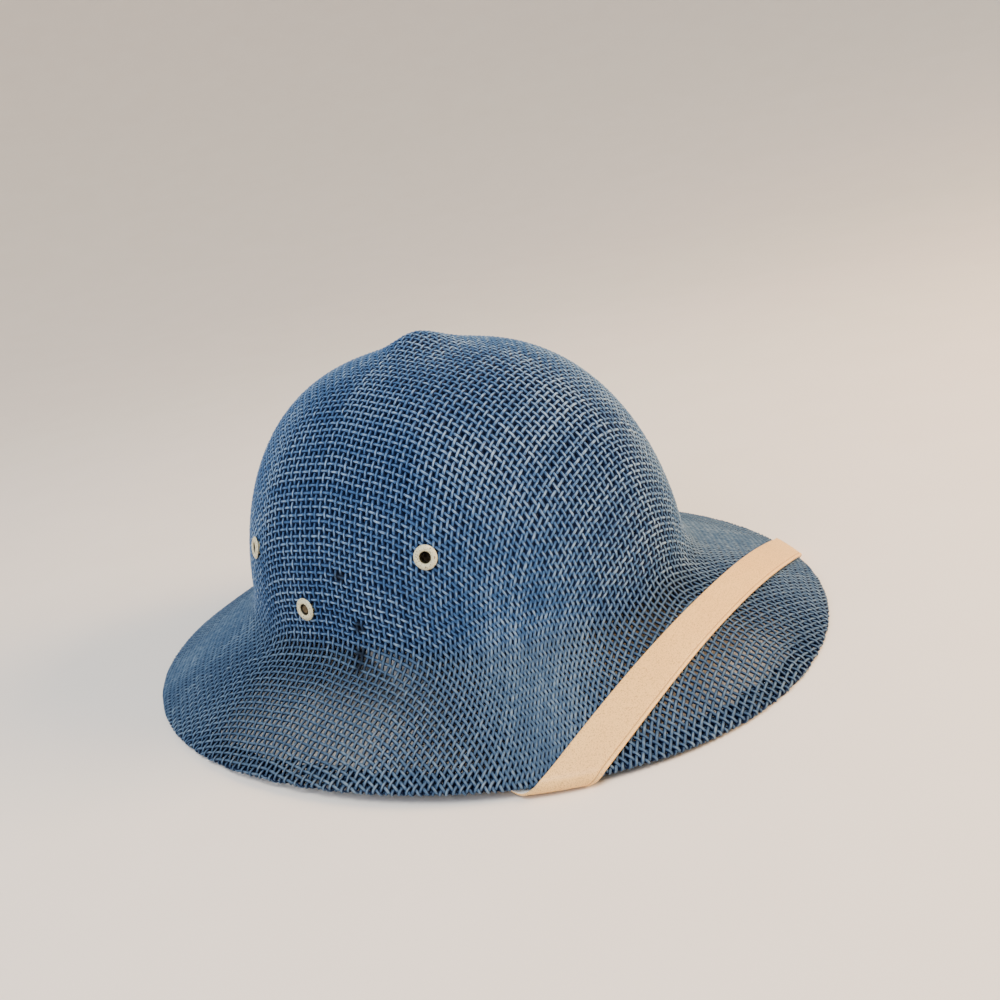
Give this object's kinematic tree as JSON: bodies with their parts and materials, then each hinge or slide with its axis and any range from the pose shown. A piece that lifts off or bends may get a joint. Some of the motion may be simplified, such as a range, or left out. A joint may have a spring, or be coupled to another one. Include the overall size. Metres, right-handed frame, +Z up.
{
  "type": "pith helmet",
  "caption": "Woven straw sun helmet of pith-helmet form: ridged domed crown, wide sloping brim, enamelled vent eyelets and a chin strap worn over the front of the brim.",
  "frame": {"origin": "centre of the bounding box on the surface that the helmet stands on", "axes": "+Z up, -Y to the wearer's front, -X to the wearer's right"},
  "size_m": [0.296, 0.3446, 0.1534],
  "materials": {
    "woven_straw": "open plain weave of blue paper-straw yarn, satin",
    "enamelled_metal": "ivory enamel, satin, chipped with rust specks",
    "vinyl_strap": "cream vinyl, satin",
    "rivet_brass": "dull aged brass"
  },
  "bodies": {
    "root": {"woven_shell": "woven_straw", "vent_eyelet_right_front": "enamelled_metal", "vent_eyelet_left_front": "enamelled_metal", "vent_eyelet_right_back": "enamelled_metal", "vent_eyelet_left_back": "enamelled_metal", "strap_eyelet_right": "enamelled_metal", "strap_eyelet_left": "enamelled_metal", "chin_strap": "vinyl_strap", "strap_rivet_right": "rivet_brass", "strap_rivet_left": "rivet_brass"}
  },
  "joints": []
}
